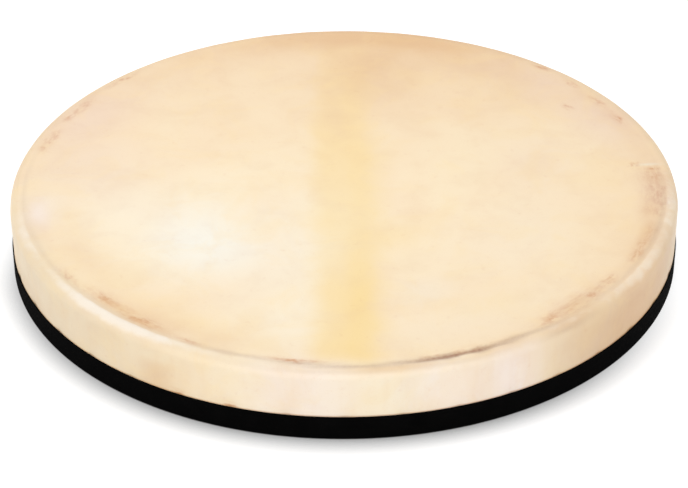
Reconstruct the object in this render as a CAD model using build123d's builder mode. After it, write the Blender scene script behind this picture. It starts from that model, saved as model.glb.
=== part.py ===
from build123d import *

import os
from math import cos, floor, pi, radians, sin

# An ocean drum: a laminated hoop closed by two stretched skins, with loose steel shot between them.
# Millimetres, +Z up, origin at the centre of the face that the drum rests on.

# Whole drum
drum_diameter = 500.0  # over the trim band
drum_depth = 54.0  # outside of one head to the outside of the other

# Heads
skin_thickness = 0.9
top_edge_radius = 6.5  # outside of the skin, where the face turns down the side
bottom_edge_radius = 3.0
seam_height = 9.0  # where the two skirts meet, behind the trim band
seam_gap = 1.0
glue_film = 0.1  # between any two glued faces

# Hoop
ply_names = ["hoop_inner_ply", "hoop_middle_ply", "hoop_outer_ply"]
ply_thickness = 2.7
ply_seam = 0.3  # where the two ends of a bent ply meet
hoop_inner_chamfer = 1.0

# Trim band
trim_thickness = 0.8
trim_width = 17.6
trim_lift = 0.5  # clear of the surface that the drum rests on
trim_edge_radius = 0.3
trim_seam = 0.4

# Staples
staple_count = 40  # in each row
staple_crown = 10.0  # along the rim
staple_leg = 5.5  # outside of the crown to the points
staple_wire = 0.7
staple_width = 1.2  # along the drum's axis
staple_sink = 0.15  # outside of the crown below the outside of the skin
staple_margin = 3.0  # from the edge of the skirt

# Shot
shot_diameter = 6.0
shot_clearance = 0.35  # between a ball and the head that it lies on
shot_bands = 11  # rings of shot that swirl by themselves, round a core
shot_spacing = 60.0  # between neighbours in a band
shot_core_count = 3
band_gap = 0.8  # kept between the paths of two bands
golden_share = 0.618034  # spreads the balls of a band unevenly across it

# Radii, from the outside of the drum inwards
trim_outer_radius = drum_diameter / 2
trim_inner_radius = trim_outer_radius - trim_thickness
skin_outer_radius = trim_inner_radius - glue_film
hoop_outer_radius = skin_outer_radius - skin_thickness - glue_film
ply_step = ply_thickness + glue_film
hoop_thickness = len(ply_names) * ply_step - glue_film
hoop_inner_radius = hoop_outer_radius - hoop_thickness

# Heights
skin_wrap = skin_thickness + glue_film  # from the wood to the outside of the skin
hoop_bottom = skin_wrap
hoop_height = drum_depth - 2 * skin_wrap
top_skirt_edge = seam_height + seam_gap / 2
bottom_skirt_edge = seam_height - seam_gap / 2

# Angles: staples in one row stand midway between those in the other, and no seam meets a staple
staple_pitch = 360 / staple_count
ply_seam_turn = staple_pitch * floor(staple_count / len(ply_names))
seam_angle = 90 + staple_pitch / 4  # at the back of the drum
seam_overcut = 3  # a seam's cutter is this many times the wall and the drum's depth

os.makedirs("parts", exist_ok=True)


def write_node(part, name):
    part.label = name
    export_step(part, f"parts/{name}.step")


def staple_row(height, start_angle):
    with BuildPart() as row:
        with BuildSketch(Plane.XY.offset(height - staple_width / 2)):
            with PolarLocations(skin_outer_radius - staple_sink, staple_count, start_angle):
                Rectangle(staple_wire, staple_crown, align=(Align.MAX, Align.CENTER))
                with GridLocations(0, staple_crown - staple_wire, 1, 2):
                    Rectangle(staple_leg, staple_wire, align=(Align.MAX, Align.CENTER))
        extrude(amount=staple_width)
    return row.part


def stretched_head(face_middle, skirt_edge, edge_radius, staples):
    side_middle = skin_outer_radius - skin_thickness / 2
    with BuildPart() as head:
        with BuildSketch(Plane.XZ):
            with BuildLine():
                FilletPolyline(
                    (0, face_middle),
                    (side_middle, face_middle),
                    (side_middle, skirt_edge),
                    radius=edge_radius - skin_thickness / 2,
                )
            trace(line_width=skin_thickness)
        revolve(axis=Axis.Z)
        add(staples, mode=Mode.SUBTRACT)
    return head.part


def cut_seam(wall_radius, wall, gap, angle):
    with PolarLocations(wall_radius, 1, angle):
        Box(seam_overcut * wall, gap, seam_overcut * drum_depth, mode=Mode.SUBTRACT)


def shot_group(places):
    with BuildPart() as group:
        with Locations(*places):
            Sphere(shot_diameter / 2)
    return group.part


# Staples, which the skins and the plies are seated round
top_staples = staple_row(top_skirt_edge + staple_margin, 0)
bottom_staples = staple_row(bottom_skirt_edge - staple_margin, staple_pitch / 2)
write_node(top_staples, "top_head_staples")
write_node(bottom_staples, "bottom_head_staples")

# Heads, each one sheet that is flat over the hoop, rounds its edge and ends in a skirt
top_head = stretched_head(drum_depth - skin_thickness / 2, top_skirt_edge, top_edge_radius, top_staples)
bottom_head = stretched_head(skin_thickness / 2, bottom_skirt_edge, bottom_edge_radius, bottom_staples)
write_node(top_head, "top_head")
write_node(bottom_head, "bottom_head")

# Section of the whole hoop, whose edges are shaped after its plies are glued
with BuildSketch(Plane.XZ) as hoop_section:
    with Locations((hoop_inner_radius, hoop_bottom)):
        Rectangle(hoop_thickness, hoop_height, align=Align.MIN)
    chamfer(hoop_section.vertices().group_by(Axis.X)[0], hoop_inner_chamfer)
    fillet(hoop_section.vertices().group_by(Axis.X)[-1].sort_by(Axis.Y)[-1], top_edge_radius - skin_wrap)
    fillet(hoop_section.vertices().group_by(Axis.X)[-1].sort_by(Axis.Y)[0], bottom_edge_radius - skin_wrap)

# Plies, each a bent strip with its seam a third of the way round from the next one's
for place, ply_name in enumerate(ply_names):
    ply_inner_radius = hoop_inner_radius + place * ply_step
    with BuildPart() as ply:
        with BuildSketch(Plane.XZ):
            add(hoop_section.sketch_local)
            with Locations((ply_inner_radius, hoop_bottom)):
                Rectangle(ply_thickness, hoop_height, align=Align.MIN, mode=Mode.INTERSECT)
        revolve(axis=Axis.Z)
        cut_seam(ply_inner_radius, ply_thickness, ply_seam, seam_angle + place * ply_seam_turn)
        add(top_staples, mode=Mode.SUBTRACT)
        add(bottom_staples, mode=Mode.SUBTRACT)
    write_node(ply.part, ply_name)

# Trim band, a flat strip whose ends butt at the back
with BuildPart() as trim_band:
    with BuildSketch(Plane.XZ) as trim_section:
        with Locations((trim_inner_radius, trim_lift)):
            Rectangle(trim_thickness, trim_width, align=Align.MIN)
        fillet(trim_section.vertices().group_by(Axis.X)[-1], trim_edge_radius)
    revolve(axis=Axis.Z)
    cut_seam(trim_inner_radius, trim_thickness, trim_seam, seam_angle)
write_node(trim_band.part, "trim_band")

# Shot, lying scattered over the bottom head in rings that never cross each other's path
shot_height = skin_thickness + shot_clearance + shot_diameter / 2
band_pitch = (hoop_inner_radius - band_gap) / (shot_bands + 0.5)
shot_scatter = (band_pitch - shot_diameter - band_gap) / 2
core_places = [
    (
        shot_scatter * cos(radians(360 * ball / shot_core_count)),
        shot_scatter * sin(radians(360 * ball / shot_core_count)),
        shot_height,
    )
    for ball in range(shot_core_count)
]
write_node(shot_group(core_places), "shot_core")

for band in range(1, shot_bands + 1):
    band_radius = band * band_pitch
    band_count = floor(2 * pi * band_radius / shot_spacing)
    band_places = []
    for ball in range(band_count):
        across = 2 * (ball * golden_share % 1) - 1
        ball_radius = band_radius + across * shot_scatter
        ball_angle = 2 * pi * (ball / band_count + band * golden_share)
        band_places.append((ball_radius * cos(ball_angle), ball_radius * sin(ball_angle), shot_height))
    write_node(shot_group(band_places), f"shot_band_{band:02d}")
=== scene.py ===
from math import atan2, cos, degrees, exp, hypot, pi, radians, sin

import bmesh
import bpy
from mathutils import Matrix, Vector, noise


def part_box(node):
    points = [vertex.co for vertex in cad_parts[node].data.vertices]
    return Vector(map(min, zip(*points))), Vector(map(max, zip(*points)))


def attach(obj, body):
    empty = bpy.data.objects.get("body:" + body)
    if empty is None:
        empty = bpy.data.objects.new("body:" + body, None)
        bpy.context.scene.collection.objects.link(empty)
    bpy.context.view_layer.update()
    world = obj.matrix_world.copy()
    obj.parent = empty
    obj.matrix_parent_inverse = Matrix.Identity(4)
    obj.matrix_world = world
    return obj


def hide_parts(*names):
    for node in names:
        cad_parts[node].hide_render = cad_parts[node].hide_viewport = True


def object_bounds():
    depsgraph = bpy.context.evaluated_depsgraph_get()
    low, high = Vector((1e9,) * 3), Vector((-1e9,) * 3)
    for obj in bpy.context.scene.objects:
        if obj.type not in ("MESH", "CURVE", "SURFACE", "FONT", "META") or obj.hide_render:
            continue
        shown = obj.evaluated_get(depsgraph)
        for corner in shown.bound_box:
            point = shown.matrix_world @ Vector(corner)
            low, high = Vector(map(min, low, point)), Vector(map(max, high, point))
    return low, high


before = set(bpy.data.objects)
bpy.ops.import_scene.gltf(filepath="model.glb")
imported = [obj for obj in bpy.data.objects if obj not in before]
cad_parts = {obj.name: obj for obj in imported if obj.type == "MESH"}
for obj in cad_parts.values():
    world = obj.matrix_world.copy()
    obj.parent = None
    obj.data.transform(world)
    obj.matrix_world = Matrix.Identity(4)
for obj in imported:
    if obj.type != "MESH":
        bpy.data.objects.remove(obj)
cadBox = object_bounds()
mm = 0.001
scene = bpy.context.scene
print("frame loaded,", len(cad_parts), "nodes")


# camera, where the photograph was taken from
photoCamera = {
    "distance": 1.75,  # m, from the middle of the drum's underside
    "elevation": 32.295,
    "lens": 120.02,
    "sensor": 36.0,
    "roll": -0.188,  # the photograph's right side sits a little high
    "shift": (-0.0003, -0.0051),
}


def addCamera(look):
    tilt = radians(look["elevation"])
    lens = bpy.data.cameras.new("photo_camera")
    lens.lens, lens.sensor_width = look["lens"], look["sensor"]
    lens.shift_x, lens.shift_y = look["shift"]
    camera = bpy.data.objects.new("photo_camera", lens)
    camera.location = look["distance"] * Vector((0, -cos(tilt), sin(tilt)))
    lean = Matrix.Rotation(pi / 2 - tilt, 3, "X") @ Matrix.Rotation(radians(look["roll"]), 3, "Z")
    camera.rotation_euler = lean.to_euler()
    scene.collection.objects.link(camera)
    scene.camera = camera


addCamera(photoCamera)
print("camera set")


white, black = (1, 1, 1, 1), (0, 0, 0, 1)


def tone(red, green, blue):  # a colour as it looks on screen, 0 to 255
    linear = [c / 255 / 12.92 if c < 11 else ((c / 255 + 0.055) / 1.055) ** 2.4 for c in (red, green, blue)]
    return (*linear, 1.0)


class Wire:  # one output socket, so that shader maths reads as sums
    def __init__(self, tree, socket):
        self.tree, self.socket = tree, socket

    def node(self, kind, settings=None, plugs=None, out=0):
        made = self.tree.nodes.new(kind)
        for name, value in (settings or {}).items():
            setattr(made, name, value)
        for name, value in (plugs or {}).items():
            if isinstance(value, Wire):
                self.tree.links.new(value.socket, made.inputs[name])
            else:
                made.inputs[name].default_value = value
        return Wire(self.tree, made.outputs[out]) if made.outputs else None

    def other(self, out):  # another output of the same node
        return Wire(self.tree, self.socket.node.outputs[out])

    def maths(self, operation, first, second=0.0):
        return self.node("ShaderNodeMath", {"operation": operation}, {0: first, 1: second})

    def __add__(self, value):
        return self.maths("ADD", self, value)

    def __sub__(self, value):
        return self.maths("SUBTRACT", self, value)

    def __rsub__(self, value):
        return self.maths("SUBTRACT", value, self)

    def __mul__(self, value):
        return self.maths("MULTIPLY", self, value)

    def __truediv__(self, value):
        return self.maths("DIVIDE", self, value)

    def __pow__(self, value):
        return self.maths("POWER", self, value)

    def __abs__(self):
        return self.maths("ABSOLUTE", self)

    __radd__ = __add__
    __rmul__ = __mul__

    def rise(self, low, high):  # 0 below low, 1 above high, smooth between
        settings = {"interpolation_type": "SMOOTHSTEP"}
        return self.node("ShaderNodeMapRange", settings, {"Value": self, "From Min": low, "From Max": high})

    def follow(self, least, gain):  # a factor that grows with this value
        return least + gain * self

    def blend(self, base, top):  # this value mixes one colour over another, by the sockets for colours
        return self.node("ShaderNodeMix", {"data_type": "RGBA"}, {0: self, 6: base, 7: top}, 2)

    def cloud(self, scale, detail=2.0, roughness=0.5, distortion=0.0):
        plugs = {"Scale": scale, "Detail": detail, "Roughness": roughness, "Distortion": distortion}
        return self.node("ShaderNodeTexNoise", None, {"Vector": self, **plugs})

    def bump(self, strength, distance):  # this value as a height
        plugs = {"Strength": strength, "Distance": distance * mm, "Height": self}
        return self.node("ShaderNodeBump", None, plugs)

    def painted(self, name):  # a mask that the piece's own vertices carry
        return self.node("ShaderNodeAttribute", {"attribute_name": name}, None, "Fac")

    def split(self):  # x, y and z of a place
        across = self.node("ShaderNodeSeparateXYZ", None, {"Vector": self})
        return across, across.other("Y"), across.other("Z")

    def join(self, x, y, z):
        return self.node("ShaderNodeCombineXYZ", None, {"X": x, "Y": y, "Z": z})


def newFinish(name):
    finish = bpy.data.materials.new(name)
    finish.use_nodes = True
    finish.node_tree.nodes.clear()
    coordinates = finish.node_tree.nodes.new("ShaderNodeTexCoord")
    return finish, Wire(finish.node_tree, coordinates.outputs["Object"])


def closeFinish(start, plugs):
    shader = start.node("ShaderNodeBsdfPrincipled", None, plugs)
    start.node("ShaderNodeOutputMaterial", None, {"Surface": shader})


def makeObject(name, shape, finish):
    mesh = bpy.data.meshes.new(name)
    shape.to_mesh(mesh)
    shape.free()
    mesh.materials.append(finish)
    made = bpy.data.objects.new(name, mesh)
    scene.collection.objects.link(made)
    return made


sharpFrom = 50  # degrees, an edge that turns this far stays sharp
mergeWithin = 0.001  # mm, vertices this close are one


def closeSpin(shape):
    bmesh.ops.remove_doubles(shape, verts=shape.verts[:], dist=mergeWithin * mm)
    bmesh.ops.recalc_face_normals(shape, faces=shape.faces[:])


def addPiece(name, shape, finish, slot, *nodes):
    piece = makeObject(name, shape, finish)
    piece.data.set_sharp_from_angle(angle=radians(sharpFrom))
    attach(piece, "drum")
    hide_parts(*nodes)
    print(name, len(piece.data.polygons), "faces")


# studio: a white room, a pale floor that keeps the drum's shadow, and soft lamps
studio = {
    "roomLight": 0.52,  # what the walls shed on the drum
    "floor": 20.0,  # m, half its side
    "floorDrop": 0.05,  # mm, just clear of the drum
    "floorTone": (0.86, 0.86, 0.85, 1.0),
    "floorWear": 0.97,  # the same tone where the floor is darkest
    "wearPattern": (3.0, 3.0),  # scale per m, detail
    "floorPaper": (0.60, 0.60, 0.60, 1.0),  # how much of the lamps' shadow the eye sees
    "rightPaper": (0.36, 0.36, 0.36, 1.0),  # the same where painted light fills the shadow at the right
    "floorGlow": 0.66,  # lifts the open floor to white for the eye
    "rightGlow": (1.3, 1.3, 1.3, 1.0),  # times that, where painted light fills the shadow
    "rightSpan": (0.10, 0.25),  # m to the right, where that fill starts and is full
    "rightBack": (-0.11, -0.04),  # m towards the back, likewise
    "contact": 0.023,  # m, how far the drum's foot darkens the floor
    "contactPower": 1.4,
    "contactSamples": 8,
    "contactSides": (0.72, 0.12),  # what is left of that beside the drum, at its left and right
    "contactFront": (-0.24, -0.06),  # m towards the back, where the sides start and are full
    "leftSpan": (-0.22, -0.04),  # m to the right, where the left side ends
    "leftBack": (-0.08, 0.01),  # m towards the back, likewise
    "lamps": {
        # where it hangs, how strong it is, how wide it looks in degrees
        "left_softbox": ((-1.52, -0.12, 1.30), 0.44, 24),
        "front_softbox": ((0.00, -1.60, 1.20), 1.22, 50),
        "right_softbox": ((1.40, -0.90, 1.10), 0.12, 50),
        "back_softbox": ((-0.20, 1.60, 1.20), 0.40, 24),
    },
}


def seenDirectly(start):  # 1 for what the camera sees, straight or in a reflection
    path = start.node("ShaderNodeLightPath")
    seen = path.other("Is Camera Ray") + path.other("Is Glossy Ray") + path.other("Is Transmission Ray")
    return path.maths("MINIMUM", seen, 1.0)


def paintRoom(look):
    room = bpy.data.worlds.new("white_room")
    room.use_nodes = True
    room.node_tree.nodes.clear()
    start = Wire(room.node_tree, room.node_tree.nodes.new("ShaderNodeTexCoord").outputs["Generated"])
    walls = start.node("ShaderNodeBackground", None, {"Color": white, "Strength": look["roomLight"]})
    plain = start.node("ShaderNodeBackground", None, {"Color": white, "Strength": 1.0})
    both = start.node("ShaderNodeMixShader", None, {0: seenDirectly(start), 1: walls, 2: plain})
    start.node("ShaderNodeOutputWorld", None, {"Surface": both})
    scene.world = room


def floorFinish(look):
    finish, start = newFinish("pale_floor")
    darkest = tuple(look["floorWear"] * c for c in look["floorTone"])
    worn = start.cloud(*look["wearPattern"]).blend(look["floorTone"], darkest)
    plain = start.node("ShaderNodeBsdfDiffuse", None, {"Color": worn})

    nearby = {"samples": look["contactSamples"]}
    # painted contact shadow from the occlusion, stronger at the front and the left
    clear = start.node("ShaderNodeAmbientOcclusion", nearby, {"Distance": look["contact"]}, "AO")
    across, along, _ = start.split()
    left, right = look["contactSides"]
    atLeft = (left - right) * (1 - across.rise(*look["leftSpan"])) * (1 - along.rise(*look["leftBack"]))
    sides = right + atLeft
    shade = 1 - clear ** look["contactPower"]
    foot = 1 - shade * (1 - along.rise(*look["contactFront"]) * (1 - sides))

    # painted light at the right, where it fills the lamps' shadow
    paintedFill = across.rise(*look["rightSpan"]) * along.rise(*look["rightBack"])
    sheet = paintedFill.blend(look["floorPaper"], look["rightPaper"])
    paper = start.node("ShaderNodeBsdfDiffuse", None, {"Color": foot.blend(black, sheet)})
    lift = foot.blend(black, paintedFill.blend(white, look["rightGlow"]))
    glow = start.node("ShaderNodeEmission", None, {"Color": lift, "Strength": look["floorGlow"]})
    lifted = start.node("ShaderNodeAddShader", None, {0: paper, 1: glow})
    both = start.node("ShaderNodeMixShader", None, {0: seenDirectly(start), 1: plain, 2: lifted})
    start.node("ShaderNodeOutputMaterial", None, {"Surface": both})
    return finish


def layFloor(look):
    shape = bmesh.new()
    bmesh.ops.create_grid(shape, x_segments=1, y_segments=1, size=look["floor"])
    bmesh.ops.translate(shape, verts=shape.verts, vec=(0, 0, cadBox[0].z - look["floorDrop"] * mm))
    floor = makeObject("floor", shape, floorFinish(look))


def hangLamps(look):
    for name, (place, strength, width) in look["lamps"].items():
        lamp = bpy.data.lights.new(name, "SUN")
        lamp.energy, lamp.angle = strength, radians(width)
        box = bpy.data.objects.new(name, lamp)
        box.location = place
        box.rotation_euler = Vector(place).to_track_quat("Z", "Y").to_euler()
        box.visible_camera = False
        scene.collection.objects.link(box)


paintRoom(studio)
layFloor(studio)
hangLamps(studio)
print("studio lit")


# natural skin, shared by both heads
hide = {
    "cream": tone(254, 233, 196),
    "peach": tone(252, 227, 189),
    # paler skin, and a painted highlight where the face shows its glare
    "milk": tone(252, 246, 231),
    # tan skin, also used as painted shade
    "tan": tone(233, 194, 147),
    # grey painted shade
    "ash": tone(213, 205, 191),
    "amber": tone(226, 178, 120),
    "petal": tone(251, 236, 225),
    # dim pinkish painted shade
    "dusk": tone(206, 166, 150),
    "straw": tone(251, 219, 149),
    "blossom": tone(234, 205, 196),
    # a paler lip along the rounded edge, with a painted highlight on it
    "rose": tone(252, 239, 221),
    "spine": tone(251, 219, 149),
    "scuff": tone(204, 130, 74),
    "blush": tone(196, 128, 108),
    # painted shade in the folds at the edge
    "fold": tone(148, 97, 66),
    "glue": tone(214, 150, 84),
    "patches": ("milk", "tan", "straw", "blossom", "ash", "amber", "petal", "dusk"),  # from the lowest up
    "patterns": {  # scale per m, detail, roughness, distortion
        "haze": (7.0, 4.0, 0.55, 0.6),
        "mottle": (34.0, 4.0, 0.6, 0.3),
        "speckle": (150.0, 3.0, 0.6),
        "grain": (620.0, 2.0, 0.6),
        "sway": (11.0, 2.0),
        "warm": (24.0, 5.0, 0.65, 0.8),
        "runs": (38.0, 3.0, 0.6),
        "smear": (75.0, 3.0, 0.55, 0.4),
        "broken": (420.0, 4.0, 0.75, 0.5),
        "streak": (1.0, 3.0, 0.6),
    },
    "spans": {  # where each starts and is full, in a pattern's own value
        "haze": (0.35, 0.65),
        "mottle": (0.42, 0.72),
        "speckle": (0.60, 0.80),
        "warm": (0.44, 0.66),
        "runs": (0.44, 0.72),
        "smear": (0.30, 0.70),
        "streak": (0.36, 0.62),
        "broken": (0.36, 0.70),
        "rose": (0.2, 0.8),
        "pores": (0.05, 0.22),
        # the next are in m: along the skin from its middle
        "rim": (0.170, 0.246),
        "spineRim": (0.242, 0.252),
        "wall": (0.247, 0.256),
        # towards the back
        "back": (-0.06, 0.26),
        "spineBack": (-0.20, 0.26),
        "spineTaper": (0.0, 0.2),
        # from left to right across the spine
        "spineLeft": (-0.034, -0.012),
        "spineRight": (0.010, 0.042),
        "coreLeft": (-0.002, 0.008),
        "coreRight": (0.016, 0.028),
        # away from the line of glue
        "glue": (0.0003, 0.0014),
    },
    "amounts": {  # how strongly each lies over what is below it
        "rim": 0.14,
        "back": 0.42,
        "spine": 0.86,
        "core": 0.15,
        "spineBack": 0.58,  # how much of the spine is gone at the back and at the rim
        "spineRim": 0.6,
        "mottle": 0.15,
        "warm": 0.16,
        "runs": 0.20,
        "smear": 0.7,
        "speckle": 0.10,
        "glue": 0.4,
        "pores": 0.10,
    },
    "follows": {  # a factor's least value, and what it gains with a pattern
        "edge": (0.7, 0.6),
        "taper": (1, 0.3),
        "patch": (0.6, 0.8),
        "smear": (0.3, 0.9),
        "streak": (0.15, 1.1),
        "broken": (0.68, 0.45),
        "fold": (0.35, 0.8),
    },
    "sway": (0.022, 0.014),  # m, how far the spine sways in wide and close waves
    "runsDown": (1.0, 1.0, 0.16),  # draws the stains of the side out downwards
    "streaks": (26, 330),  # streaks round the drum, and along the skin per m
    "middle": 0.0001,  # keeps the drum's middle from dividing by nothing
    "pores": 430.0,
    "roughness": (0.36, 0.52),
    "scuffedRoughness": 0.15,
    "heights": {"grain": 0.5, "speckle": 0.6, "pores": 0.35},
    "bump": (0.35, 0.25),  # strength, mm
    "refraction": 1.45,
}


def skinFinish(name, look, offset, spine, hem):
    finish, at = newFinish(name)
    across, along, up = at.split()
    place = at.node("ShaderNodeMapping", None, {"Vector": at, "Location": offset})
    reach = at.painted("reach")  # m along the skin from its middle
    patterns, spans, amounts, follows = (look[part] for part in ("patterns", "spans", "amounts", "follows"))

    haze, mottle, speckle, grain, sway, warm, smear, broken = (
        place.cloud(*patterns[part])
        for part in ("haze", "mottle", "speckle", "grain", "sway", "warm", "smear", "broken")
    )

    # the ground, darker towards the rim and the back; at the back the darkening is partly painted shade
    colour = haze.rise(*spans["haze"]).blend(look["cream"], look["peach"])
    edge = reach.rise(*spans["rim"]) * amounts["rim"] + along.rise(*spans["back"]) * amounts["back"]
    colour = (edge * mottle.follow(*follows["edge"])).blend(colour, look["tan"])

    # the line of the animal's spine, from front to back
    wide, close = look["sway"]
    wander = (sway - 0.5) * wide + (mottle - 0.5) * close  # noise lies round 0.5
    line = (across + wander) * along.rise(*spans["spineTaper"]).follow(*follows["taper"])
    stripe = line.rise(*spans["spineLeft"]) * (1 - line.rise(*spans["spineRight"]))
    core = line.rise(*spans["coreLeft"]) * (1 - line.rise(*spans["coreRight"]))
    fade = 1 - along.rise(*spans["spineBack"]) * amounts["spineBack"]
    fade = fade * (1 - reach.rise(*spans["spineRim"]) * amounts["spineRim"])
    stripe = stripe * amounts["spine"] + core * amounts["core"]
    colour = (stripe * fade * spine).blend(colour, look["spine"])

    # patches in their own places, among them painted highlight and painted shade, and then stains all over
    for patch in look["patches"]:
        colour = (at.painted(patch) * mottle.follow(*follows["patch"])).blend(colour, look[patch])
    colour = (mottle.rise(*spans["mottle"]) * amounts["mottle"]).blend(colour, look["tan"])
    colour = (warm.rise(*spans["warm"]) * amounts["warm"]).blend(colour, look["spine"])
    drawn = at.node("ShaderNodeMapping", None, {"Vector": place, "Scale": look["runsDown"]})
    runs = drawn.cloud(*patterns["runs"]).rise(*spans["runs"]) * reach.rise(*spans["wall"])
    colour = (runs * amounts["runs"]).blend(colour, look["tan"])
    # the pale lip along the rounded edge, carrying a painted highlight
    pale = (at.painted("rose") + (smear - 0.5) * amounts["smear"]).rise(*spans["rose"])
    colour = pale.blend(colour, look["rose"])
    colour = (speckle.rise(*spans["speckle"]) * amounts["speckle"]).blend(colour, look["scuff"])

    # scuffs in broken streaks round the drum, painted shade in the folds, and glue along the band
    radius = (across * across + along * along + look["middle"]) ** 0.5
    turn, rest = look["streaks"]
    streak = at.join(across / radius * turn, along / radius * turn, reach * rest).cloud(*patterns["streak"])
    rubbed = smear.rise(*spans["smear"]).follow(*follows["smear"])
    rubbed = rubbed * streak.rise(*spans["streak"]).follow(*follows["streak"])
    rubbed = rubbed * broken.rise(*spans["broken"]).follow(*follows["broken"])
    for mark in ("scuff", "blush"):
        colour = (at.painted(mark) * rubbed).blend(colour, look[mark])
    colour = (at.painted("fold") * broken.follow(*follows["fold"])).blend(colour, look["fold"])
    colour = ((1 - abs(up - hem).rise(*spans["glue"])) * amounts["glue"]).blend(colour, look["glue"])

    cells = {"Vector": place, "Scale": look["pores"], "Randomness": 1.0}
    pores = at.node("ShaderNodeTexVoronoi", {"feature": "F1"}, cells, "Distance")
    pit = 1 - pores.rise(*spans["pores"])
    colour = (pit * amounts["pores"]).blend(colour, look["scuff"])

    smooth, rough = look["roughness"]
    shine = smooth + (rough - smooth) * (0.5 * mottle + 0.5 * speckle)
    shine = shine + look["scuffedRoughness"] * at.painted("scuff")
    tall = look["heights"]
    height = grain * tall["grain"] + speckle * tall["speckle"] - pit * tall["pores"]
    bump = height.bump(*look["bump"])
    closeFinish(at, {"Base Color": colour, "Roughness": shine, "Normal": bump, "IOR": look["refraction"]})
    return finish


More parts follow.
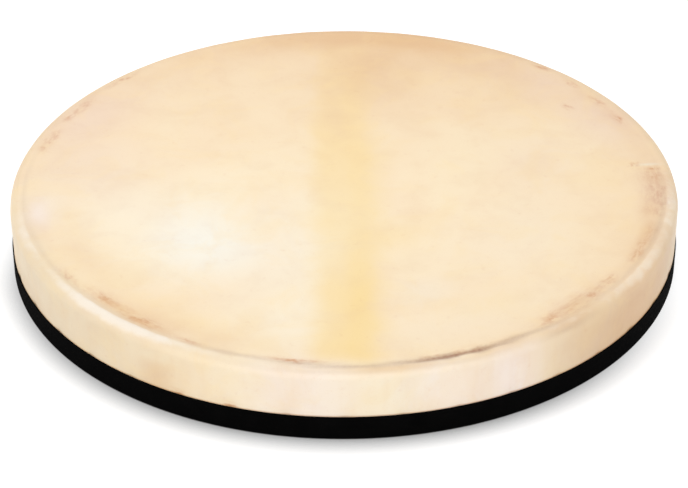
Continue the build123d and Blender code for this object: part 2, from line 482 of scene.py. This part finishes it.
# each mark: mask, degrees round the drum, mm along the skin from its middle,
# mm half size along the rim and across it, strength
topSkin = {
    "node": "top_head",
    "faceUp": True,
    "rounding": 6.5,  # mm, of the edge
    "thickness": 0.9,  # mm
    "turns": 480,
    "offset": (0.0, 0.0, 0.0),  # place in the noise
    "spine": 1.0,  # how strong the spine's line is
    "marks": [
        ("scuff", -145, 234, 16, 3.0, 0.45),
        ("scuff", -134, 230.5, 20, 4.0, 0.66),
        ("scuff", -127.5, 232.5, 18, 4.0, 0.62),
        ("scuff", -117, 236, 12, 2.5, 0.40),
        ("scuff", -98, 236.5, 15, 2.5, 0.65),
        ("scuff", -71, 237, 26, 2.5, 0.50),
        ("scuff", -117, 281, 4.0, 2.0, 1.00),
        ("scuff", -108, 281, 4.0, 2.0, 0.80),
        ("scuff", -51, 233, 18, 5.0, 0.54),
        ("scuff", -45, 231.5, 20, 6.0, 0.58),
        ("scuff", -37, 231, 8, 4.0, 0.60),
        ("scuff", -25, 233, 16, 3.5, 0.50),
        ("scuff", -19, 234, 10, 4.0, 0.40),
        ("scuff", -10, 233, 14, 8.0, 0.26),
        ("scuff", -4, 233, 16, 9.0, 0.28),
        ("scuff", 1, 233, 12, 9.0, 0.26),
        ("scuff", 5.6, 222, 2.2, 3.5, 0.95),
        ("scuff", 3.8, 235, 2.5, 9.0, 0.60),
        ("scuff", 23, 234, 7, 3.0, 0.80),
        ("scuff", 31, 235, 9, 3.0, 0.60),
        ("scuff", 32, 209, 5, 2.5, 0.60),
        ("scuff", 39, 237, 6, 2.5, 0.70),
        ("scuff", 48, 240, 7, 2.5, 0.80),
        ("scuff", 138, 239, 13, 3.0, 0.48),
        ("scuff", 141, 240, 6, 3.0, 0.60),
        ("scuff", 152, 236, 15, 4.0, 0.42),
        ("scuff", 156, 237, 6, 3.0, 0.40),
        ("scuff", 165, 235, 13, 4.0, 0.54),
        ("scuff", 168, 236, 6, 3.0, 0.45),
        ("blush", -6, 234, 22, 9.0, 0.22),
        # the large milk marks on the face's left half are a painted highlight over paler skin
        ("milk", -139, 134, 62, 46, 1.00),
        ("milk", -160, 158, 56, 44, 0.38),
        ("milk", -171, 224, 30, 18, 0.30),
        ("milk", 5.25, 231, 1.6, 8.0, 0.80),
        ("milk", -137, 84, 30, 30, 0.40),
        ("milk", -70, 162, 26, 20, 0.34),
        ("milk", -112, 110, 50, 80, 0.45),
        ("milk", -100, 190, 26, 40, 0.40),
        ("milk", -62, 205, 80, 26, 0.25),
        ("milk", -35, 150, 70, 40, 0.22),
        ("tan", -150, 215, 50, 16, 0.30),
        ("tan", -124, 226, 60, 12, 0.45),
        ("tan", -22, 234, 60, 8, 0.35),
        ("tan", 86, 236, 110, 24, 1.25),
        ("tan", 82, 185, 42, 60, 0.75),
        ("tan", 60, 212, 70, 34, 0.55),
        ("tan", 95, 120, 14, 60, 0.35),
        # the pale lip round the edge, with a painted highlight on it
        ("rose", -131, 243.2, 84, 4.8, 0.84),
        ("rose", -160, 244, 60, 4.8, 0.47),
        ("rose", -50, 243, 34, 3.4, 0.34),
        ("rose", -30, 244.5, 70, 5.4, 0.47),
        ("rose", -8, 245, 56, 5.4, 0.46),
        # these tan marks on the rounding beside the crease are painted shade
        ("tan", -83, 245, 42, 4.0, 0.55),
        ("tan", -64, 244, 30, 4.5, 0.40),
        ("tan", -50, 243, 26, 6.0, 0.75),
        ("tan", -36, 250, 40, 5.0, 0.55),
        ("milk", -85, 272, 118, 34, 0.60),
        ("petal", -168, 229, 22, 9.0, 0.72),
        ("blossom", 155, 222, 60, 30, 0.36),
        ("blossom", 174, 196, 50, 36, 0.30),
        ("blossom", 45, 222, 44, 26, 0.34),
        ("blossom", 25, 222, 48, 26, 0.34),
        ("blossom", 11, 152, 40, 30, 0.18),
        ("straw", -65, 86, 16, 18, 0.40),
        ("straw", -107, 60, 16, 16, 0.32),
        ("straw", -57, 199, 30, 14, 0.22),
        ("straw", -119, 214, 40, 12, 0.20),
        ("petal", -96, 272, 36, 40, 0.62),
        ("petal", -72, 275, 30, 29, 0.85),
        ("petal", -63, 275, 22, 29, 0.97),
        # grey painted shade on the side, most on the left
        ("ash", -142, 268, 120, 34, 0.34),
        ("ash", -48, 268, 44, 34, 0.22),
        ("ash", -15, 268, 44, 34, 0.22),
        # dim painted shade on the right side, its lip and near its rim
        ("dusk", -33, 272, 84, 40, 0.20),
        ("dusk", -50, 244, 26, 6.0, 0.18),
        ("dusk", -3, 233, 36, 12, 0.26),
        ("dusk", -44, 231, 30, 6.0, 0.22),
        ("amber", -134, 231, 18, 4.0, 0.50),
        ("amber", -126, 234.0, 22, 3.5, 0.55),
        ("amber", 80, 232, 84, 20, 0.58),
        ("amber", 86, 190, 24, 50, 0.22),
        ("amber", 60, 232, 60, 20, 0.15),
        ("amber", -20, 231, 22, 5.0, 0.35),
        ("amber", -11, 228, 16, 7.0, 0.30),
        ("amber", 0, 230, 8, 9.0, 0.28),
        ("amber", -47, 231, 30, 5.0, 0.35),
        ("tan", -165, 230, 40, 9.0, 0.40),
        ("tan", 22, 232, 70, 9.0, 0.40),
        ("tan", -121, 275, 15, 14, 0.65),
        # the right of the side darker: painted shade
        ("tan", -35, 274, 72, 26, 0.95),
        ("tan", -160, 278, 60, 8, 0.30),
    ],
    # each fold: angle, half length in degrees, mm along the skin, inward bow in mm, strength
    "folds": [
        (-72, 10, 240.0, 0.0, 1.20),
        (-62, 9, 240.5, 2.0, 0.50),
        (-88, 10, 241.5, 0.0, 0.45),
        (-97, 6, 239.0, 0.0, 0.40),
        (-108, 8, 238.0, 0.0, 0.34),
        (-52, 6, 248.0, 0.0, 0.22),
        (-96, 16, 247.5, 0.0, 0.14),
        (-72, 9, 247.0, 0.0, 0.13),
        (-22, 26, 238.0, 0.0, 0.20),
        (-142, 30, 237.5, 0.0, 0.16),
        (70, 60, 241.5, 0.0, 0.10),
        (-172, 18, 239.0, 0.0, 0.14),
        (150, 30, 241.0, 0.0, 0.08),
    ],
    "foldWidth": 2.3,  # mm
    "foldDepth": 0.6,  # mm
    "faceWaves": 0.22,  # mm, how uneven the stretched face is
    "wallWaves": 0.16,  # mm, the same for the side
    "staples": (40, 0.0),  # how many dents the staples pull, and where the first is
    "dent": (0.55, 3.2, 4.0),  # mm deep, half width and half height
    "bandEdge": 18.1,  # mm, height of the band's top edge
}
bottomSkin = {
    "node": "bottom_head",
    "faceUp": False,
    "rounding": 3.0,
    "thickness": 0.9,
    "turns": 288,
    "offset": (1.7, 0.6, 2.3),
    "spine": 0.7,
    "marks": [
        ("scuff", 20, 232, 26, 5.0, 0.50),
        ("scuff", -70, 238, 30, 4.0, 0.45),
        ("blush", 140, 236, 30, 5.0, 0.40),
        ("milk", 60, 120, 70, 50, 0.50),
        ("tan", -120, 200, 60, 40, 0.45),
    ],
    "folds": [(110, 20, 246, 1.0, 0.4), (-30, 16, 246, 1.5, 0.3)],
    "foldWidth": 1.1,
    "foldDepth": 0.25,
    "faceWaves": 0.0,
    "wallWaves": 0.0,
    "staples": (40, 4.5),
    "dent": (0.0, 3.2, 5.0),
    "bandEdge": 18.1,
}
skinMesh = {
    "zones": (0.6, 0.9),  # shares of the radius, past which the rings of the mesh lie closer
    "spacing": (10, 5, 1.8),  # mm between rings in the middle, past the first share and past the second
    "roundingSteps": 8,
    "markEnds": 2.5,  # half sizes from its middle, where a mark is gone
    "tallMark": 10,  # mm, half size from which a mark on the side is as tall as the side
    "fades": {"soft": 2, "lip": 8, "tallAlong": 3, "tallUp": 6},  # how square a mark's edge is
    "foldSway": (0.6, 4, 7.0),  # mm to and fro, degrees to a wave, place in the noise
    "foldUneven": (0.5, 3, 2.0),  # share of the width, likewise
    "faceWave": (0.5, 14),  # least, waves to the metre
    "faceEnd": 8,  # how square the face's waves end at the edge
    "wallWave": (0.6, 5, 24, 3.0),  # least, degrees and mm to a wave, place in the noise
}


def hump(distance, half, power=2):
    return exp(-((abs(distance) / half) ** power))


def turnBetween(angle, other):  # degrees, the short way round
    return (angle - other + 180) % 360 - 180


def spinSkin(look, face, hem, rim):
    shape = bmesh.new()
    reach = shape.verts.layers.float.new("reach")
    first, second = (share * rim for share in skinMesh["zones"])
    stations = [(0, face), (first, face), (second, face), (rim, face), (rim, hem)]
    profile = [shape.verts.new((r, 0, z)) for r, z in stations]
    for pair in zip(profile, profile[1:]):
        shape.edges.new(pair)
    rounding = {"offset": look["rounding"] * mm, "offset_type": "OFFSET", "profile": 0.5}
    rounding["segments"] = skinMesh["roundingSteps"]
    corner = profile[-2]  # where the face turns down the side
    bmesh.ops.bevel(shape, geom=[corner], affect="VERTICES", material=-1, **rounding)
    wide, closer, closest = skinMesh["spacing"]
    for edge in shape.edges[:]:
        middle = (edge.verts[0].co + edge.verts[1].co) / 2
        spacing = wide if middle.x < first else closer if middle.x < second else closest
        cuts = int(edge.calc_length() / (spacing * mm))
        if cuts:
            bmesh.ops.subdivide_edges(shape, edges=[edge], cuts=cuts)

    here = min(shape.verts, key=lambda v: v.co.x)  # from the middle out, with the distance kept
    walked, distance = {here}, 0.0
    while here:
        here[reach] = distance
        onward = [e.other_vert(here) for e in here.link_edges if e.other_vert(here) not in walked]
        distance += (onward[0].co - here.co).length if onward else 0
        here = onward[0] if onward else None
        walked.add(here)

    whole = {"cent": (0, 0, 0), "axis": (0, 0, 1), "angle": 2 * pi, "steps": look["turns"], "use_merge": True}
    bmesh.ops.spin(shape, geom=shape.verts[:] + shape.edges[:], **whole)
    closeSpin(shape)
    shape.normal_update()
    return shape


def paintMarks(look, vert, masks, angle, radius, along, flat):
    ends, fades = skinMesh["markEnds"], skinMesh["fades"]
    for name, where, ring, wide, deep, strength in look["marks"]:
        aside = radians(turnBetween(angle, where)) * radius
        if abs(aside) < ends * wide and abs(along - ring) < ends * deep:
            onSide = deep > skinMesh["tallMark"] and ring > flat  # a stain as tall as the side
            onLip = name == "rose" and along < ring and not onSide  # sharp towards the face
            fadeAlong = fades["tallAlong" if onSide else "soft"]
            fadeUp = fades["tallUp" if onSide else "lip" if onLip else "soft"]
            strength *= hump(aside, wide, fadeAlong) * hump(along - ring, deep, fadeUp)
            vert[masks[name]] = max(vert[masks[name]], strength)


def creaseAt(look, angle, along):  # the strongest of the folds here
    sway, swayTurn, swayPlace = skinMesh["foldSway"]
    uneven, unevenTurn, unevenPlace = skinMesh["foldUneven"]
    crease = 0.0
    for where, half, ring, bow, strength in look["folds"]:
        run = hump(turnBetween(angle, where), half)
        wander = bow * run + sway * noise.noise(Vector((angle / swayTurn, ring, swayPlace)))
        ripple = noise.noise(Vector((angle / unevenTurn, ring, unevenPlace)))
        thick = look["foldWidth"] * (1 + uneven * ripple)
        crease = max(crease, strength * run * hump(along - ring + wander, thick))
    return crease


def sinkAt(look, vert, crease, angle, radius, along, flat):  # mm, by folds, waves and staples
    least, waves = skinMesh["faceWave"]
    inside = max(0.0, 1 - (along / flat) ** skinMesh["faceEnd"])
    sink = look["foldDepth"] * crease
    sink += look["faceWaves"] * inside * (least + noise.noise(vert.co * waves))
    if along > flat:
        least, turn, rise, spot = skinMesh["wallWave"]
        sink += look["wallWaves"] * (least + noise.noise(Vector((angle / turn, along / rise, spot))))
        count, start = look["staples"]
        depth, half, tall = look["dent"]
        pitch = 360 / count
        aside = radians((angle - start + pitch / 2) % pitch - pitch / 2) * radius
        sink += depth * hump(aside, half) * hump(vert.co.z / mm - look["bandEdge"], tall)
    return sink


def stretchSkin(look):
    low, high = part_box(look["node"])
    face, hem = (high.z, low.z) if look["faceUp"] else (low.z, high.z)
    shape = spinSkin(look, face, hem, high.x)
    reach = shape.verts.layers.float["reach"]
    names = {mark[0] for skin in (topSkin, bottomSkin) for mark in skin["marks"]} | {"fold"}
    masks = {name: shape.verts.layers.float.new(name) for name in sorted(names)}
    flat = (high.x / mm) - look["rounding"]
    pushes = []
    for vert in shape.verts:
        radius, along = hypot(vert.co.x, vert.co.y) / mm, vert[reach] / mm
        angle = degrees(atan2(vert.co.y, vert.co.x))
        paintMarks(look, vert, masks, angle, radius, along, flat)
        crease = creaseAt(look, angle, along)
        vert[masks["fold"]] = crease
        sink = sinkAt(look, vert, crease, angle, radius, along, flat)
        pushes.append((vert, vert.normal * max(sink, 0.0) * mm))
    for vert, push in pushes:
        vert.co -= push

    bmesh.ops.solidify(shape, geom=shape.faces[:], thickness=look["thickness"] * mm)
    for part in shape.faces:
        part.smooth = True
    finish = skinFinish("skin_" + look["node"], hide, look["offset"], look["spine"], look["bandEdge"] * mm)
    addPiece("skin_of_" + look["node"], shape, finish, "skin", look["node"])


stretchSkin(topSkin)
stretchSkin(bottomSkin)


# woven tape round the foot of the drum, its ends butted at the back
tape = {
    "thickness": 0.8,  # mm
    "edge": 0.3,  # mm, rounding of the two outer edges
    "edgeSteps": 3,
    "seam": 92.25,  # degrees round the drum
    "seamGap": 0.4,  # mm
    "turns": 480,
    "rows": 9,  # cuts up the outside, for the ripple
    "ripple": 0.12,  # mm
    "rippleShare": (0.8, 0.5),  # least, and what it gains with the noise
    "rippleScale": (30, 200),  # per radian and per m
    "rippleFrom": 0.2,  # mm outside the back of the tape
    "thread": 0.55,  # mm from one thread to the next
    "crossing": (-0.2, 0.2),  # where one thread gives way to the other
    "crown": (0.55, 1.0),  # where a thread stands proud and catches light
    "black": tone(2, 2, 2),
    # the crowns' tone: a painted highlight, which is also where the lint wears
    "worn": tone(15, 14, 14),
    "lint": (55.0, 4.0, 0.6),  # scale per m, detail, roughness
    "lintSpan": (0.4, 0.7),
    "lintWear": (0.35, 0.5),  # least, and what it gains with the lint
    "lintHeight": 0.4,
    "roughness": (0.82, 0.12),  # likewise
    "bump": (0.8, 0.15),  # strength, mm
    "gloss": 0.02,
}


def tapeFinish(look):
    finish, at = newFinish("black_tape")
    along, up = at.painted("along"), at.painted("up")
    perThread = pi / (look["thread"] * mm)
    warp, weft = at.maths("SINE", along * perThread), at.maths("SINE", up * perThread)
    over = (warp * weft).rise(*look["crossing"])
    weave = over * abs(weft) + (1 - over) * abs(warp)
    lint = at.cloud(*look["lint"])
    wear = lint.rise(*look["lintSpan"]).follow(*look["lintWear"])
    # painted highlight on the crowns of the threads, more where the lint wears
    colour = (weave.rise(*look["crown"]) * wear).blend(look["black"], look["worn"])
    shine = lint.follow(*look["roughness"])
    bump = (weave + look["lintHeight"] * lint).bump(*look["bump"])
    plugs = {"Base Color": colour, "Roughness": shine, "Normal": bump, "Specular IOR Level": look["gloss"]}
    closeFinish(at, plugs)
    return finish


def wrapTape(look):
    low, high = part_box("trim_band")
    outer, inner = high.x, high.x - look["thickness"] * mm
    gap = look["seamGap"] * mm / outer
    shape = bmesh.new()
    corners = [(inner, low.z), (outer, low.z), (outer, high.z), (inner, high.z)]
    verts = [shape.verts.new((r, 0, z)) for r, z in corners]
    shape.faces.new(verts)
    rounding = {"offset": look["edge"] * mm, "offset_type": "OFFSET", "profile": 0.5}
    rounding["segments"] = look["edgeSteps"]
    outerCorners = verts[1:3]
    bmesh.ops.bevel(shape, geom=outerCorners, affect="VERTICES", material=-1, **rounding)
    upright = [e for e in shape.edges if e.calc_length() > (high.z - low.z) / 2]
    outside = max(upright, key=lambda e: sum(v.co.x for v in e.verts))
    bmesh.ops.subdivide_edges(shape, edges=[outside], cuts=look["rows"])
    start = radians(look["seam"]) + gap / 2
    bmesh.ops.rotate(shape, verts=shape.verts[:], cent=(0, 0, 0), matrix=Matrix.Rotation(start, 3, "Z"))
    around = {"cent": (0, 0, 0), "axis": (0, 0, 1), "angle": 2 * pi - gap, "steps": look["turns"]}
    bmesh.ops.spin(shape, geom=shape.verts[:] + shape.edges[:] + shape.faces[:], **around)
    closeSpin(shape)

    along, up = (shape.verts.layers.float.new(name) for name in ("along", "up"))
    least, gain = look["rippleShare"]
    perTurn, perHeight = look["rippleScale"]
    for vert in shape.verts:
        turn = (atan2(vert.co.y, vert.co.x) - radians(look["seam"])) % (2 * pi)
        vert[along], vert[up] = turn * outer, vert.co.z
        radius = hypot(vert.co.x, vert.co.y)
        if radius > inner + look["rippleFrom"] * mm:
            wave = noise.noise(Vector((turn * perTurn, vert.co.z * perHeight, 0)))
            ripple = look["ripple"] * (least + gain * wave)
            dip = 1 - ripple * mm / radius
            vert.co.x, vert.co.y = vert.co.x * dip, vert.co.y * dip
    for part in shape.faces:
        part.smooth = len(part.verts) == 4  # all but the two cut ends
    addPiece("black_tape", shape, tapeFinish(look), "band_cloth", "trim_band")


wrapTape(tape)


# bent beech of the hoop, its grain running round the drum
beech = {
    "light": tone(222, 184, 140),
    "dark": tone(176, 128, 84),
    "fleck": tone(120, 78, 48),
    "grainScale": (5.0, 320.0, 160.0),  # round the drum, and per m up and outwards
    "grain": (1.0, 4.0, 0.6),  # scale, detail, roughness
    "grainSpan": (0.3, 0.7),
    "fleckScale": (60.0, 900.0),  # round the drum, and per m up
    "flecks": (1.0, 1.0),
    "fleckSpan": (0.62, 0.70),
    "fleckAmount": 0.6,
    "fleckDepth": 0.5,
    "roughness": (0.5, 0.2),  # least, and what it gains with the grain
    "bump": (0.3, 0.3),  # strength, mm
}


def beechFinish(look):
    finish, at = newFinish("bent_beech")
    across, along, up = at.split()
    radius = (across * across + along * along) ** 0.5
    turn, rise, outwards = look["grainScale"]
    layers = up * rise + radius * outwards
    grain = at.join(across / radius * turn, along / radius * turn, layers).cloud(*look["grain"])
    turn, rise = look["fleckScale"]
    flecks = at.join(across / radius * turn, along / radius * turn, up * rise).cloud(*look["flecks"])
    colour = grain.rise(*look["grainSpan"]).blend(look["light"], look["dark"])
    colour = (flecks.rise(*look["fleckSpan"]) * look["fleckAmount"]).blend(colour, look["fleck"])
    bump = (grain - look["fleckDepth"] * flecks).bump(*look["bump"])
    closeFinish(at, {"Base Color": colour, "Roughness": grain.follow(*look["roughness"]), "Normal": bump})
    return finish


# zinc of the staples and tumbled steel of the shot
metals = {
    "zinc_wire": {
        "bright": tone(205, 207, 210),
        "dull": tone(150, 152, 156),
        "scale": 500.0,  # per m
        "roughness": 0.34,
    },
    "tumbled_steel": {
        "bright": tone(212, 212, 214),
        "dull": tone(158, 156, 156),
        "scale": 260.0,
        "roughness": 0.20,
    },
}
metalWear = {
    "bloom": (4.0, 0.6),  # detail, roughness
    "bloomSpan": (0.35, 0.75),
    "bloomRoughness": 0.18,
    "scratchScale": 5,  # times the bloom's
    "scratch": (2.0, 0.7, 2.0),  # detail, roughness, distortion
    "scratchRoughness": 0.10,
    "bump": (0.15, 0.05),  # strength, mm
}


def metalFinish(name, look, wear):
    finish, at = newFinish(name)
    bloom = at.cloud(look["scale"], *wear["bloom"])
    scratch = at.cloud(look["scale"] * wear["scratchScale"], *wear["scratch"])
    colour = bloom.rise(*wear["bloomSpan"]).blend(look["bright"], look["dull"])
    shine = look["roughness"] + wear["bloomRoughness"] * bloom + wear["scratchRoughness"] * scratch
    bump = scratch.bump(*wear["bump"])
    closeFinish(at, {"Base Color": colour, "Metallic": 1.0, "Roughness": shine, "Normal": bump})
    return finish


def dressNodes():
    wood = beechFinish(beech)
    zinc, steel = (metalFinish(name, look, metalWear) for name, look in metals.items())
    for name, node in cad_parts.items():
        if name.startswith("hoop"):
            node.material_slots[0].material = wood
        elif name.endswith("staples"):
            node.material_slots[0].material = zinc
        elif name.startswith("shot"):
            node.material_slots[0].material = steel


dressNodes()
print("wood, wire and shot finished")

scene.view_settings.view_transform = "Standard"
